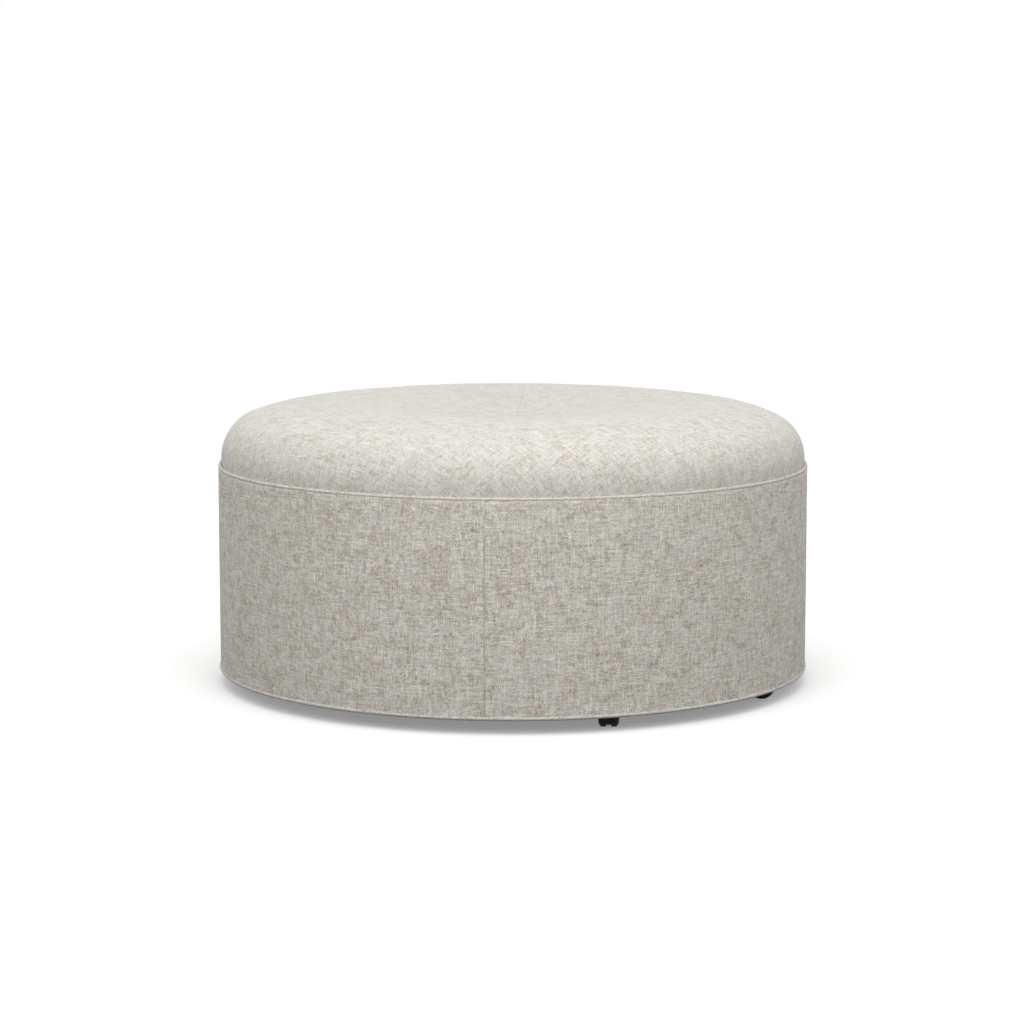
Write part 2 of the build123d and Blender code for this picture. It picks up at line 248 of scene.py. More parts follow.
def linenCloth(name):
    weave = weaves[name]
    paint = Paint(name)
    u, v, _ = paint.split(paint.node("UVMap", {"uv_map": "clothMetres"}))

    # the yarns run a little crooked
    slow, fast = linen["waverSpots"]
    bentU = u + (paint.noise(u * slow, v * fast, 11.3) - 0.5) * (2 * linen["waver"])
    bentV = v + (paint.noise(u * fast, v * slow, 23.9) - 0.5) * (2 * linen["waver"])

    def countYarns(place):
        # the number of the yarn there, and how far it bulges
        yarn = place / linen["yarn"]
        number = paint.maths("FLOOR", yarn)
        return number, paint.maths("COSINE", (yarn - number - 0.5) * pi)

    warpNumber, warpBulge = countYarns(bentU)
    weftNumber, weftBulge = countYarns(bentV)
    over = 1 - 2 * paint.maths("FLOORED_MODULO", warpNumber + weftNumber, 2.0)

    def alongYarns(kind):
        # noise along the warp's yarns and along the weft's
        spots, spread, warpSeed, weftSeed, detail = yarnNoise[kind]
        alongWarp = paint.noise(warpNumber * spread, v * spots, warpSeed, detail)
        return alongWarp, paint.noise(u * spots, weftNumber * spread, weftSeed, detail)

    # slubs are stretches where a yarn is thick and pale
    warpSlub, weftSlub = (paint.step(value, *linen["slubFrom"]) for value in alongYarns("slub"))
    warpHigh = warpBulge * (1 + linen["slubSwell"] * warpSlub) + linen["sunk"] * over * weftBulge
    weftHigh = weftBulge * (1 + linen["slubSwell"] * weftSlub) - linen["sunk"] * over * warpBulge
    warpOnTop = paint.maths("GREATER_THAN", warpHigh, weftHigh)
    height = paint.maths("MAXIMUM", warpHigh, weftHigh)

    def onTop(warpValue, weftValue):
        return weftValue + warpOnTop * (warpValue - weftValue)

    # each yarn changes tone along its length, in short and long dashes
    slub = onTop(warpSlub, weftSlub)
    shortDash, longDash, fleck = (onTop(*alongYarns(kind)) for kind in ("shortDash", "longDash", "fleck"))
    tone = weave["shortDash"] * (shortDash - 0.5) + weave["longDash"] * (longDash - 0.5)

    # the weave is evener towards the middle of the top
    fromU, fromV = u - clothMiddle, v - clothMiddle
    away = paint.maths("SQRT", fromU * fromU + fromV * fromV)
    even = weave["calm"] + (1 - weave["calm"]) * paint.step(away, *linen["calmRadii"])

    # clouds of tan among the pale ground, with brown flecks in them
    few, many = linen["cloudSpots"]
    broad = paint.noise(u * few, v * few, 31.7, 1.0)
    narrow = paint.noise(u * many, v * many, 37.1, 1.0)
    cloud = paint.step(0.5 * broad + 0.5 * narrow, *linen["cloudFrom"])
    fleck = paint.step(fleck + 0.25 * narrow + 0.1 * cloud, *linen["fleckFrom"])
    colour = paint.blendColours(cloud * weave["patches"], weave["pale"], weave["tan"])
    colour = paint.blendColours(even * fleck * weave["fleck"], colour, linen["brown"])
    # hollow is painted shade in the dips between the yarns; light joins it to the yarns' own tone and slubs
    hollow = linen["hollowShade"] * (1 - height)
    light = 1 + weave["contrast"] * even * (tone + weave["slub"] * slub - hollow)
    colour = paint.blendColours(1.0, colour, paint.vector(light, light, light), "MULTIPLY")
    return paint.finish(colour, linen["relief"], height, {
        "Roughness": 0.9, "Specular IOR Level": 0.2, "Sheen Weight": weave["sheen"], "Sheen Roughness": 0.5})


def scaled(colour, by):
    return tuple(min(1.0, by * part) for part in colour)


def plainCloth(name, colour, spots):
    # non-woven cloth or wadding: a felt of fine fibres
    paint = Paint(name)
    place = paint.node("TexCoord", out="Object")
    fibre = paint.noiseAt(place, spots, 4.0)
    patch = paint.noiseAt(place, spots / 25, 1.0)
    shade = paint.blendColours(fibre * 0.6 + patch * 0.4, scaled(colour, 0.72), scaled(colour, 1.2))
    return paint.finish(shade, 0.3 * mm, fibre, {"Roughness": 0.9, "Specular IOR Level": 0.15})


def woodGrain(name, pale, dark, along, spots=90.0, layered=False):
    # along gives the stretch of the pattern on each axis, short along the grain
    paint = Paint(name)
    place = paint.node("TexCoord", out="Object")
    stretched = paint.node("Mapping", {}, {"Vector": place, "Scale": along})
    streak = paint.noiseAt(stretched, spots, 3.0)
    pore = paint.noiseAt(stretched, spots * 7, 2.0)
    share = paint.step(streak, 0.35, 0.7) * 0.75 + pore * 0.25
    if layered:
        veneer = paint.maths("FLOORED_MODULO", paint.split(place)[2] / (1.6 * mm), 2.0)
        share = share * 0.6 + 0.4 * paint.maths("GREATER_THAN", veneer, 1.0)
    colour = paint.blendColours(share, pale, dark)
    return paint.finish(colour, 0.15 * mm, pore, {"Roughness": 0.65 + 0.2 * pore})


def mouldedNylon(name, colour, spots):
    paint = Paint(name)
    place = paint.node("TexCoord", out="Object")
    fine = paint.noiseAt(place, spots, 2.0)
    scuff = paint.step(paint.noiseAt(place, 70.0, 4.0), 0.52, 0.72)
    shade = paint.blendColours(scuff * 0.35, colour, scaled(colour, 2.6))
    return paint.finish(shade, 0.04 * mm, fine, {
        "Roughness": 0.5 + 0.25 * scuff, "Specular IOR Level": 0.2})


def platedSteel(name, colour, metallic, roughness):
    paint = Paint(name)
    place = paint.node("TexCoord", out="Object")
    cloudy = paint.noiseAt(place, 160.0, 3.0)
    fine = paint.noiseAt(place, 1400.0, 2.0)
    shade = paint.blendColours(cloudy * 0.6, colour, scaled(colour, 0.72))
    return paint.finish(shade, 0.02 * mm, fine, {
        "Metallic": metallic, "Roughness": roughness + 0.2 * cloudy})


def twistedTwine(name, pale, dark):
    paint = Paint(name)
    x, y, z = paint.split(paint.node("TexCoord", out="Object"))
    lay = paint.maths("SINE", paint.maths("ARCTAN2", y, x) * 3 + z * 1800)
    colour = paint.blendColours(lay * 0.3 + 0.4, pale, dark)
    return paint.finish(colour, 0.2 * mm, lay, {"Roughness": 0.6})


materials = {
    "linen_cloth": linenCloth("linenCloth"),
    "polyester_wrap": plainCloth("polyesterWrap", (0.8, 0.8, 0.78), 900.0),
    "seat_foam": plainCloth("seatFoam", (0.78, 0.72, 0.52), 1600.0),
    "nylon_twine": twistedTwine("nylonTwine", (0.82, 0.79, 0.72), (0.55, 0.52, 0.46)),
    "grey_card": plainCloth("greyCard", (0.36, 0.32, 0.27), 1200.0),
    "plywood": woodGrain("plywood", (0.62, 0.43, 0.25), (0.45, 0.28, 0.14), (0.12, 1, 1), 60.0, True),
    "pine": woodGrain("pine", (0.72, 0.52, 0.3), (0.52, 0.32, 0.15), (1, 1, 0.08)),
    "hardboard": woodGrain("hardboard", (0.2, 0.11, 0.055), (0.13, 0.07, 0.035), (1, 1, 1), 240.0),
    "black_cambric": plainCloth("blackCambric", (0.018, 0.018, 0.019), 1500.0),
    "black_nylon": mouldedNylon("blackNylon", (0.005, 0.005, 0.0055), 900.0),
    "black_wheel": mouldedNylon("blackWheel", (0.004, 0.004, 0.0045), 1400.0),
    "black_steel": platedSteel("blackSteel", (0.02, 0.02, 0.021), 0.0, 0.35),
    "zinc_steel": platedSteel("zincSteel", (0.62, 0.63, 0.65), 1.0, 0.25),
}
# shaded copies of the cloth for the top and the piping, with painted shade against the light on them
topLinenShadedCopy = linenCloth("linenTop")
pipingLinenShadedCopy = linenCloth("linenPiping")
print("materials made")


def dressNodes():
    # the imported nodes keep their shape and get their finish
    for row in frame["record"]["subparts"]:
        data = frame["nodes"][row["node"]].data
        data.materials.clear()
        data.materials.append(materials[row["material_slot"]])


dressNodes()
print("nodes finished")


# meshes


def settle(piece, replaced):
    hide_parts(replaced)
    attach(piece, rootBody)


def addMesh(name, points, faces):
    mesh = bpy.data.meshes.new(name)
    mesh.from_pydata(points, [], faces)
    return addObject(name, mesh)


def makePiece(name, node, slot, points, faces, corners=None):
    # node is the one that it replaces; corners holds one cloth coordinate for each corner of each face
    piece = addMesh(name, points, faces)
    mesh = piece.data
    if corners:
        layer = mesh.uv_layers.new(name="clothMetres")
        flat = [part for place in corners for part in place]
        layer.data.foreach_set("uv", flat)
    mesh.shade_smooth()
    mesh.materials.append(materials[slot])
    if node:
        settle(piece, node)
    return piece


def squares(rows, columns):
    # the four corners of each square of a grid, each as its row and column
    return [
        ((row, column), (row, column + 1), (row + 1, column + 1), (row + 1, column))
        for row in range(rows) for column in range(columns)
    ]


def wind(rows, columns, ring, shift=0):
    # quads between rows of points
    grid = squares(rows - 1, columns if ring else columns - 1)
    return [[shift + at * columns + along % columns for at, along in square] for square in grid]


def disc(rings, columns):
    # a fan round the middle point and quads between the rings about it
    fan = [[0, 1 + column, 1 + (column + 1) % columns] for column in range(columns)]
    return fan + wind(rings, columns, True, 1)


def makeSheet(name, node, slot, points, faces, loop, cloth=None):
    # points holds its first side, then its other; faces, loop (its edge) and cloth are the first side's
    count = len(points) // 2
    under = [[count + number for number in reversed(face)] for face in faces]
    rim = [[after, at, count + at, count + after] for at, after in zip(loop, loop[1:] + loop[:1])]
    everyFace = faces + under + rim
    places = [cloth[number % count] for face in everyFace for number in face] if cloth else None
    return makePiece(name, node, slot, points, everyFace, places)


def makeLathe(name, node, slot, columns, section, bend=None, clothPlace=None):
    # a closed ring: section lists its outline's points, and bend(number, angle) gives a point another place
    count = len(section)
    angles = [fullTurn * column / columns for column in range(columns)]
    points = []
    for number, (radius, height, *_) in enumerate(section):
        points.extend(bend(number, angle) if bend else polar(radius, angle, height) for angle in angles)
    grid = squares(count, columns)
    faces = [[at % count * columns + along % columns for at, along in square] for square in grid]
    places = None
    if clothPlace:
        places = [clothPlace(fullTurn * along / columns, at) for square in grid for at, along in square]
    return makePiece(name, node, slot, points, faces, places)


def polar(radius, angle, height):
    return (radius * cos(angle), radius * sin(angle), height)


def wobble(angle, height, size, seed):
    # a smooth random value from -1 to 1 over the drum, with bumps about as long as size
    around = Vector((cos(angle), sin(angle), 0)) * drumRadius
    return noise.noise((around + Vector((0, 0, height))) / size + Vector((seed, seed, seed)))


def waves(sizes, angle, height):
    # sizes holds their height and length in millimetres and their seed, and they come in millimetres too
    tall, length, seed = sizes
    return tall * wobble(angle, height, length * mm, seed)


def hump(tall, aside, width):
    # a smooth rise or groove with its top where aside is 0
    return tall * exp(-((aside / width) ** 2))


def bake(piece):
    # makes what its modifiers give its own mesh
    graph = bpy.context.evaluated_depsgraph_get()
    piece.data = bpy.data.meshes.new_from_object(piece.evaluated_get(graph))
    piece.modifiers.clear()


# geometry nodes


class Grove(Nodes):
    # a tree of geometry nodes with named inputs

    prefix = "GeometryNode"

    def __init__(self, name):
        super().__init__(bpy.data.node_groups.new(name, "GeometryNodeTree"))
        self.tree.interface.new_socket("Geometry", in_out="OUTPUT", socket_type="NodeSocketGeometry")
        self.values = {}
        self.entry = self.tree.nodes.new("NodeGroupInput")

    def take(self, name, value):
        kind = "NodeSocketInt" if isinstance(value, int) else "NodeSocketFloat"
        socket = self.tree.interface.new_socket(name, in_out="INPUT", socket_type=kind)
        self.values[socket.identifier] = value
        return Reading(self, self.entry.outputs[name])

    def takeAll(self, sizes):
        # headEdge, for one, becomes the input Head Edge
        return {key: self.take(re.sub("([A-Z])", r" \1", key).title(), size) for key, size in sizes.items()}

    def raised(self, geometry, height):
        return self.node("Transform", {}, {"Geometry": geometry, "Translation": self.vector(z=height)})

    def solid(self, operation, sockets):
        return self.node("MeshBoolean", {"operation": operation, "solver": "EXACT"}, sockets)

    def scattered(self, points, piece, rotation=(0, 0, 0)):
        return self.node("InstanceOnPoints", {}, {"Points": points, "Instance": piece, "Rotation": rotation})

    def grow(self, name, geometry, material):
        # ends the tree and turns what it makes into a plain piece
        real = self.node("RealizeInstances", {}, {"Geometry": geometry})
        made = self.node("SetMaterial", {}, {"Geometry": real, "Material": material})
        self.node("NodeGroupOutput", {}, {0: made})
        piece = addObject(name, bpy.data.meshes.new(name))
        modifier = piece.modifiers.new("grove", "NODES")
        modifier.node_group = self.tree
        for identifier, value in self.values.items():
            modifier[identifier] = value
        bake(piece)
        return piece


# the top edge hangs a little, more at the sides than in front and at the back

edgeHang = {
    "all": 0.3 * mm,
    "sides": 1.2 * mm,
    "fade": 22.0 * mm,  # how much of the cloth above and below follows
}
frontAngle = cameraSet["azimuth"] - pi / 2


def hang(angle):
    return edgeHang["all"] + edgeHang["sides"] * sin(angle - frontAngle) ** 2


# the piping

piping = {
    "radius": 2.9 * mm,
    "upperInset": 3.2 * mm,  # from the band's face in to the middle of the piping over it
    "lowerInset": 1.7 * mm,
    "columns": 900,
    "sides": 18,
    "flangeColumns": 180,
    "wander": 0.2 * mm,
    "joinLength": 7.0 * mm,
    "joinSwell": 0.4 * mm,
    "fineWander": 0.08 * mm,
    "wanderLengths": (18.0, 70.0, 90.0),  # millimetres, of its thickness, sideways and up
    "mergeWithin": 0.02 * mm,
    "lining": 451.0 * mm,  # inside of the wall, where the lower piping's edge runs up
    "strip": 455.6 * mm,  # inside of the card strip, which the upper piping's edge hangs behind
}


def pipingHeights():
    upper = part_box("upper_welt")[1].z - piping["radius"]
    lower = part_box("lower_welt")[0].z + piping["radius"]
    return upper, lower


upperBead, lowerBead = pipingHeights()


def grooveRadius():
    # where the top cloth passes behind the upper piping
    return drumRadius - piping["upperInset"] - piping["radius"] - crown["layerGap"]


# the crown

crown = {
    "base": 346.0 * mm,  # where it shows from behind the piping
    "rise": 86.1 * mm,
    "radiusShares": (0.0, 0.3614, 0.7859, 0.8946, 0.9562, 0.9892),
    "heightShares": (0.6852, 0.8741, 0.9273, 0.7765, 0.5396, 0.0),
    "cloth": 0.8 * mm,
    "layerGap": 0.2 * mm,
    "wrapDepth": 14.0 * mm,
    "tuckRadius": 455.0 * mm,
    "tuckDepth": 20.0 * mm,
    "ringStep": 4.0 * mm,
    "columns": 300,
    "tuftDepth": 3.5 * mm,
    "tuftWidth": 16.0 * mm,
    "seamDepth": 1.3 * mm,
    "seamWidth": 1.2 * mm,
    "seamRidge": 0.4 * mm,  # the swell beside the seam
    "ridgeWidth": 6.0 * mm,
    "besideSeam": (0.0, 0.5, 1.0, 1.6, 2.4, 3.6, 5.5, 8.0),  # columns there, in millimetres
    "broadWaves": (0.55, 130, 3.0),  # height and length in millimetres, and seed
    "smallWaves": (0.25, 45, 7.0),
    "gathers": (0.25, 9, 5.0),
    "gatherHeight": 20.0 * mm,
    "dishEdge": 300.0 * mm,  # only what lies further out gathers and leans
    "lean": 1.6 * mm,  # how much fuller the shoulder is on its full side, and flatter across from it
    "leanAngle": radians(228),
    "leanHeight": 408.0 * mm,
    "leanWidth": 9.5 * mm,
    "grainAngle": radians(3.3),  # of one set of yarns, so that the grain is diagonal in front
}
padding = {
    "voxel": 6.0 * mm,
    "pressure": 0.4,
    "frames": 20,
    "cap": 3.0 * mm,
    "start": 1.2 * mm,  # how much smaller the pad is before it swells
    "pinHeight": 6.0 * mm,
    "columns": 160,
    "nearest": 6,  # simulated points that a place takes its move from
    "meanTurns": 24,  # places on a ring for its mean
    "kept": 0.6,  # how much of its unevenness the cloth takes
    "mostUneven": 0.6 * mm,
}


def crownCorners():
    # the outline's corners as (place, heading), each arc leaving the way the last one came in
    spots = [
        Vector((drumRadius * across, crown["base"] + crown["rise"] * up))
        for across, up in zip(crown["radiusShares"], crown["heightShares"])
    ]
    heading = Vector((1, 0))
    found = [(spots[0], heading)]
    for start, end in zip(spots, spots[1:]):
        chord = (end - start).normalized()
        heading = chord * (2 * chord.dot(heading)) - heading
        found.append((end, heading))
    return found


straight = 1e-6  # half the bend, in radians, below which an arc is a straight line


def crownLine(step):
    # the outline from the middle of the dish to the base, as (place, outward direction) pairs
    line = []
    found = crownCorners()
    for (start, heading), (end, _) in zip(found, found[1:]):
        chord = end - start
        half = atan2(heading.x * chord.y - heading.y * chord.x, heading.dot(chord))
        length = chord.length * (half / sin(half) if abs(half) > straight else 1)
        count = max(2, round(length / step))
        for part in range(count):
            share = part / count
            bent = half * share
            reach = chord.length * (sin(bent) / sin(half) if abs(half) > straight else share)
            direction = Matrix.Rotation(bent, 2) @ heading.normalized()
            tangent = Matrix.Rotation(2 * bent, 2) @ heading.normalized()
            line.append((start + direction * reach, Vector((-tangent.y, tangent.x))))
    end, heading = found[-1]
    line.append((end, Vector((-heading.y, heading.x))))
    return line


def runLengths(line):
    # how far along the cloth each place lies from the first
    lengths = [0.0]
    for (first, _), (second, _) in zip(line, line[1:]):
        lengths.append(lengths[-1] + (second - first).length)
    return lengths


def swollenPad(line, lengths):
    # simulates the stuffed crown, lumps and all, and returns each point's place before and its move
    columns = padding["columns"]
    points = [crownSurface(line[0][0], line[0][1], 0.0, padding["start"], 0.0)]
    for (place, out), length in zip(line[1:], lengths[1:]):
        angles = [fullTurn * column / columns for column in range(columns)]
        points.extend(crownSurface(place, out, angle, padding["start"], length) for angle in angles)
    faces = disc(len(line) - 1, columns)
    faces.append([1 + (len(line) - 2) * columns + column for column in reversed(range(columns))])
    pad = addMesh("padShape", points, [list(reversed(face)) for face in faces])
    remesh = pad.modifiers.new("remesh", "REMESH")
    remesh.mode = "VOXEL"
    remesh.voxel_size = padding["voxel"]
    bake(pad)
    held = pad.vertex_groups.new(name="held")
    low = crown["base"] + padding["pinHeight"]
    middle = crown["tuftWidth"] / 2
    pinned = [
        point.index for point in pad.data.vertices
        if point.co.z < low or hypot(point.co.x, point.co.y) < middle
    ]
    held.add(pinned, 1.0, "REPLACE")
    cloth = pad.modifiers.new("cloth", "CLOTH")
    cloth.settings.use_pressure = True
    cloth.settings.uniform_pressure_force = padding["pressure"]
    cloth.settings.effector_weights.gravity = 0
    cloth.settings.vertex_group_mass = "held"
    cloth.point_cache.frame_start = 1
    cloth.point_cache.frame_end = padding["frames"]
    for number in range(1, padding["frames"] + 1):
        scene.frame_set(number)
    graph = bpy.context.evaluated_depsgraph_get()
    swollen = pad.evaluated_get(graph).to_mesh()
    before = [point.co.copy() for point in pad.data.vertices]
    moves = []
    for old, new in zip(before, swollen.vertices):
        move = new.co - old
        moves.append(move * min(1.0, padding["cap"] / max(move.length, 1e-9)))
    bpy.data.objects.remove(pad)
    scene.frame_set(1)
    return before, moves


class Swelling:
    # how far the simulated pad swells at each place, less its mean on that ring, because the outline is known

    def __init__(self):
        line = crownLine(crown["ringStep"])
        self.lengths = runLengths(line)
        before, self.moves = swollenPad(line, self.lengths)
        self.tree = kdtree.KDTree(len(before))
        for number, place in enumerate(before):
            self.tree.insert(place, number)
        self.tree.balance()
        count = padding["meanTurns"]
        turns = [fullTurn * part / count for part in range(count)]
        self.means = [
            sum(self.raw(place, out, turn) for turn in turns) / count
            for place, out in line
        ]

    def raw(self, place, out, angle):
        outward = Vector(polar(out.x, seamAngle + angle, out.y))
        spot = Vector(polar(place.x, seamAngle + angle, place.y))
        near = self.tree.find_n(spot - outward * padding["start"], padding["nearest"])
        weights = [1 / (distance + padding["voxel"] / 2) for _, _, distance in near]
        total = sum(self.moves[number].dot(outward) * weight for (_, number, _), weight in zip(near, weights))
        return total / sum(weights)

    def at(self, place, out, angle, length):
        row = min(bisect.bisect_left(self.lengths, length), len(self.means) - 1)
        uneven = padding["kept"] * (self.raw(place, out, angle) - self.means[row])
        return max(-padding["mostUneven"], min(padding["mostUneven"], uneven))


def crownColumns(radius):
    # angles round the crown, closer together beside the seam, counted from the seam
    beside = crown["besideSeam"]
    regular = fullTurn / crown["columns"]
    limit = regular / len(beside)
    near = [min(offset * mm / max(radius, mm), limit * number)
            for number, offset in enumerate(beside)]
    plain = [regular * number for number in range(1, crown["columns"])]
    return near + plain + [fullTurn - offset for offset in reversed(near[1:])]


def followShare(height):
    # how much of the top edge's hang a height near it takes
    if height >= crown["base"]:
        return max(0.0, 1 - (height - crown["base"]) / edgeHang["fade"])
    return min(1.0, max(0.0, (height - bandTop) / (upperBead - bandTop)))


def crownSurface(place, out, angle, depth, length, swelling=None):
    # a point of the cloth, depth under its outer face, with its dimple, seam and small waves
    radius, height = place
    outside = radius > crown["dishEdge"]
    aside = min(angle, fullTurn - angle) * radius
    past = max(0.0, 1 - (height - crown["base"]) / crown["gatherHeight"]) if outside else 0.0
    gathers = past * past * waves(crown["gathers"], angle, 0.0)
    uneven = waves(crown["broadWaves"], angle, length) + waves(crown["smallWaves"], angle, length) + gathers
    dip = hump(crown["tuftDepth"], radius, crown["tuftWidth"])
    groove = hump(crown["seamDepth"], aside, crown["seamWidth"])
    ridge = hump(crown["seamRidge"], aside, crown["ridgeWidth"])
    lean = hump(crown["lean"], height - crown["leanHeight"], crown["leanWidth"])
    full = cos(seamAngle + angle - crown["leanAngle"]) if outside else 0.0
    lift = uneven * mm - groove + ridge + lean * full
    if swelling and height > crown["base"]:
        lift += swelling.at(place, out, angle, length)
    if place.x == 0:
        lift = 0.0
    spot = place + out * (lift - depth)
    drop = followShare(height) * hang(seamAngle + angle)
    return Vector(polar(spot.x, seamAngle + angle, spot.y - dip - drop))


def tuckedEdge():
    # from the crown's base in behind the piping, out over the wall's top and down its outside
    bead, groove = upperBead, grooveRadius()
    fold = bandTop - crown["layerGap"]
    tuck = crown["tuckRadius"]
    outward, upward = Vector((1, 0)), Vector((0, 1))
    corner = Vector((1, 1)).normalized()
    low = fold - crown["cloth"] - crown["tuckDepth"]
    edge = [
        (Vector((groove + crown["layerGap"], bead + piping["radius"] / 2)), outward),
        (Vector((groove, bead)), outward),
        (Vector((groove, fold + crown["cloth"])), outward),
        (Vector((groove + crown["layerGap"], fold)), corner),
        (Vector(((groove + tuck) / 2, fold)), upward),
        (Vector((tuck - crown["layerGap"], fold)), upward),
        (Vector((tuck, fold - crown["layerGap"])), corner),
    ]
    drop = fold - low
    edge += [(Vector((tuck, fold - drop * share)), outward) for share in (0.1, 0.3, 0.55, 0.8, 1.0)]
    return edge


def makeCrownCover(swelling):
    line = crownLine(crown["ringStep"]) + tuckedEdge()
    lengths = runLengths(line)
    angles = [crownColumns(place.x) for place, _ in line]
    points = []
    for depth in (0.0, crown["cloth"]):
        points.append(crownSurface(line[0][0], line[0][1], 0.0, depth, 0.0))
        for (place, out), length, turns in zip(line[1:], lengths[1:], angles[1:]):
            points.extend(crownSurface(place, out, angle, depth, length, swelling) for angle in turns)
    cloth = [(clothMiddle, clothMiddle)]
    for length, turns in zip(lengths[1:], angles[1:]):
        for turn in turns:
            angle = seamAngle + turn - crown["grainAngle"]
            cloth.append((length * cos(angle) + clothMiddle, length * sin(angle) + clothMiddle))
    columns, rings = len(angles[0]), len(line) - 1
    edge = [1 + (rings - 1) * columns + column for column in range(columns)]
    piece = makeSheet("crownCloth", "crown_cover", "linen_cloth", points, disc(rings, columns), edge, cloth)
    # the top takes the shaded copy of the cloth
    piece.data.materials[0] = topLinenShadedCopy


swelling = Swelling()
makeCrownCover(swelling)
print("crown cloth made")


stuffing = {
    "hole": 1.0 * mm,  # radius of the one that the twine goes through
    "foamStep": 14.0 * mm,
    "foamColumns": 120,
    "wrapStep": 9.0 * mm,
    "wrapUnderStep": 16.0 * mm,
    "wrapColumns": 160,
}


def divided(outline, step):
    # the same closed outline with points no further apart than step
    filled = []
    for start, end in zip(outline, outline[1:] + outline[:1]):
        start, end = Vector(start), Vector(end)
        count = max(1, round((end - start).length / step))
        filled.extend(start.lerp(end, part / count) for part in range(count))
    return filled


def makeCrownStuffing(swelling):
    hole = stuffing["hole"]
    inset = crown["cloth"] + crown["layerGap"] + crown["wrapDepth"]
    corners = [place + Vector((heading.y, -heading.x)) * inset for place, heading in crownCorners()]
    corners[0] = Vector((hole, corners[0].y))
    side = corners[-1].x
    seat = bandTop - crown["layerGap"] - crown["cloth"]
    block = divided([Vector((hole, seat)), *corners, Vector((side, seat))], stuffing["foamStep"])
    foam = makeLathe("crownFoam", "crown_foam", "seat_foam", stuffing["foamColumns"], block)

    # the wrap lies close under the cloth
    under = crown["cloth"] + crown["layerGap"]
    line = crownLine(stuffing["wrapStep"])
    lengths = runLengths(line)
    edge = grooveRadius() - crown["cloth"] - crown["layerGap"]
    lower = [Vector((edge, upperBead)), Vector((edge, seat)), Vector((side, seat)), *reversed(corners)]
    lower = divided(lower, stuffing["wrapUnderStep"])[:-1]

    def bend(number, angle):
        if number >= len(line):
            spot = lower[number - len(line)]
            return polar(spot.x, angle, spot.y)
        place, out = line[number]
        place = Vector((max(place.x, hole), place.y))
        return crownSurface(place, out, (angle - seamAngle) % fullTurn, under, lengths[number], swelling)

    section = [place for place, _ in line] + lower
    wrap = makeLathe("crownWrap", "crown_wrap", "polyester_wrap", stuffing["wrapColumns"], section, bend)


makeCrownStuffing(swelling)
print("stuffing made")


# the band

band = {
    "cloth": 0.8 * mm,
    "columnStep": 5.0 * mm,
    "rowStep": 6.0 * mm,
    "puff": 0.2 * mm,
    "inset": 0.4 * mm,  # how far its edges lie inside the drum's full width
    "broadWaves": (0.3, 110, 17.0),
    "smallWaves": (0.1, 35, 19.0),
    "seamDepth": 1.5 * mm,
    "seamWidth": 0.9 * mm,
    "seamRidge": 0.45 * mm,
    "ridgeWidth": 7.0 * mm,
    "besideSeam": (0.0, 0.4, 0.8, 1.3, 2.0, 3.0, 4.5, 7.0, 10.0),  # columns there, in millimetres
    "lap": 1.0 * mm,  # how far the top edge runs up the piping, where it rounds over
    "roundOver": 0.7 * mm,
    "thinned": 0.8,  # how much of its thickness that edge loses
    "bottomTuck": 0.3 * mm,
    "overCard": 0.15 * mm,
}
cardLow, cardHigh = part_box("tack_strip")


def bandRadius(aside, height, angle, depth):
    # aside is the distance from the nearer seam
    lapped = max(0.0, (height - bandTop) / band["lap"])
    share = (height - bandBottom) / (bandTop - bandBottom)
    puff = band["puff"] * sin(pi * min(1.0, max(0.0, share))) ** 0.5 - band["inset"]
    uneven = waves(band["broadWaves"], angle, height) + waves(band["smallWaves"], angle, height)
    groove = hump(band["seamDepth"], aside, band["seamWidth"])
    ridge = hump(band["seamRidge"], aside, band["ridgeWidth"])
    radius = drumRadius + puff + uneven * mm - groove + ridge
    if height > cardLow.z:
        radius = max(radius, cardHigh.x + band["overCard"])
    return radius - band["roundOver"] * lapped ** 2 - depth * (1 - band["thinned"] * lapped)


def makeBandPanel(name, node, startAngle):
    length = drumRadius * pi
    near = [offset * mm for offset in band["besideSeam"]]
    plain = length - 2 * near[-1]
    inner = round(plain / band["columnStep"])
    middle = [near[-1] + plain * part / inner for part in range(1, inner)]
    places = near + middle + [length - offset for offset in reversed(near)]
    rows = round((bandTop - bandBottom) / band["rowStep"])
    heights = [bandBottom - band["bottomTuck"]]
    heights += [bandBottom + (bandTop - bandBottom) * row / rows for row in range(rows + 1)]
    heights += [bandTop + band["lap"] * share for share in (0.4, 0.75, 1.0)]
    points = []
    for depth in (0.0, band["cloth"]):
        for height in heights:
            follow = max(0.0, 1 - max(0.0, bandTop - height) / edgeHang["fade"])
            for along in places:
                angle = startAngle + along / drumRadius
                radius = bandRadius(min(along, length - along), height, angle, depth)
                points.append(polar(radius, angle, height - follow * hang(angle)))
    cloth = [(startAngle * drumRadius + along, height) for height in heights for along in places]
    columns = len(places)
    count = len(cloth)
    loop = [*range(columns), *range(2 * columns - 1, count, columns)]
    loop += [*range(count - 2, count - columns - 1, -1), *range(count - 2 * columns, 0, -columns)]
    piece = makeSheet(name, node, "linen_cloth", points, wind(len(heights), columns, False), loop, cloth)


makeBandPanel("bandRight", "band_right_panel", seamAngle - pi)
makeBandPanel("bandLeft", "band_left_panel", seamAngle)
print("band made")


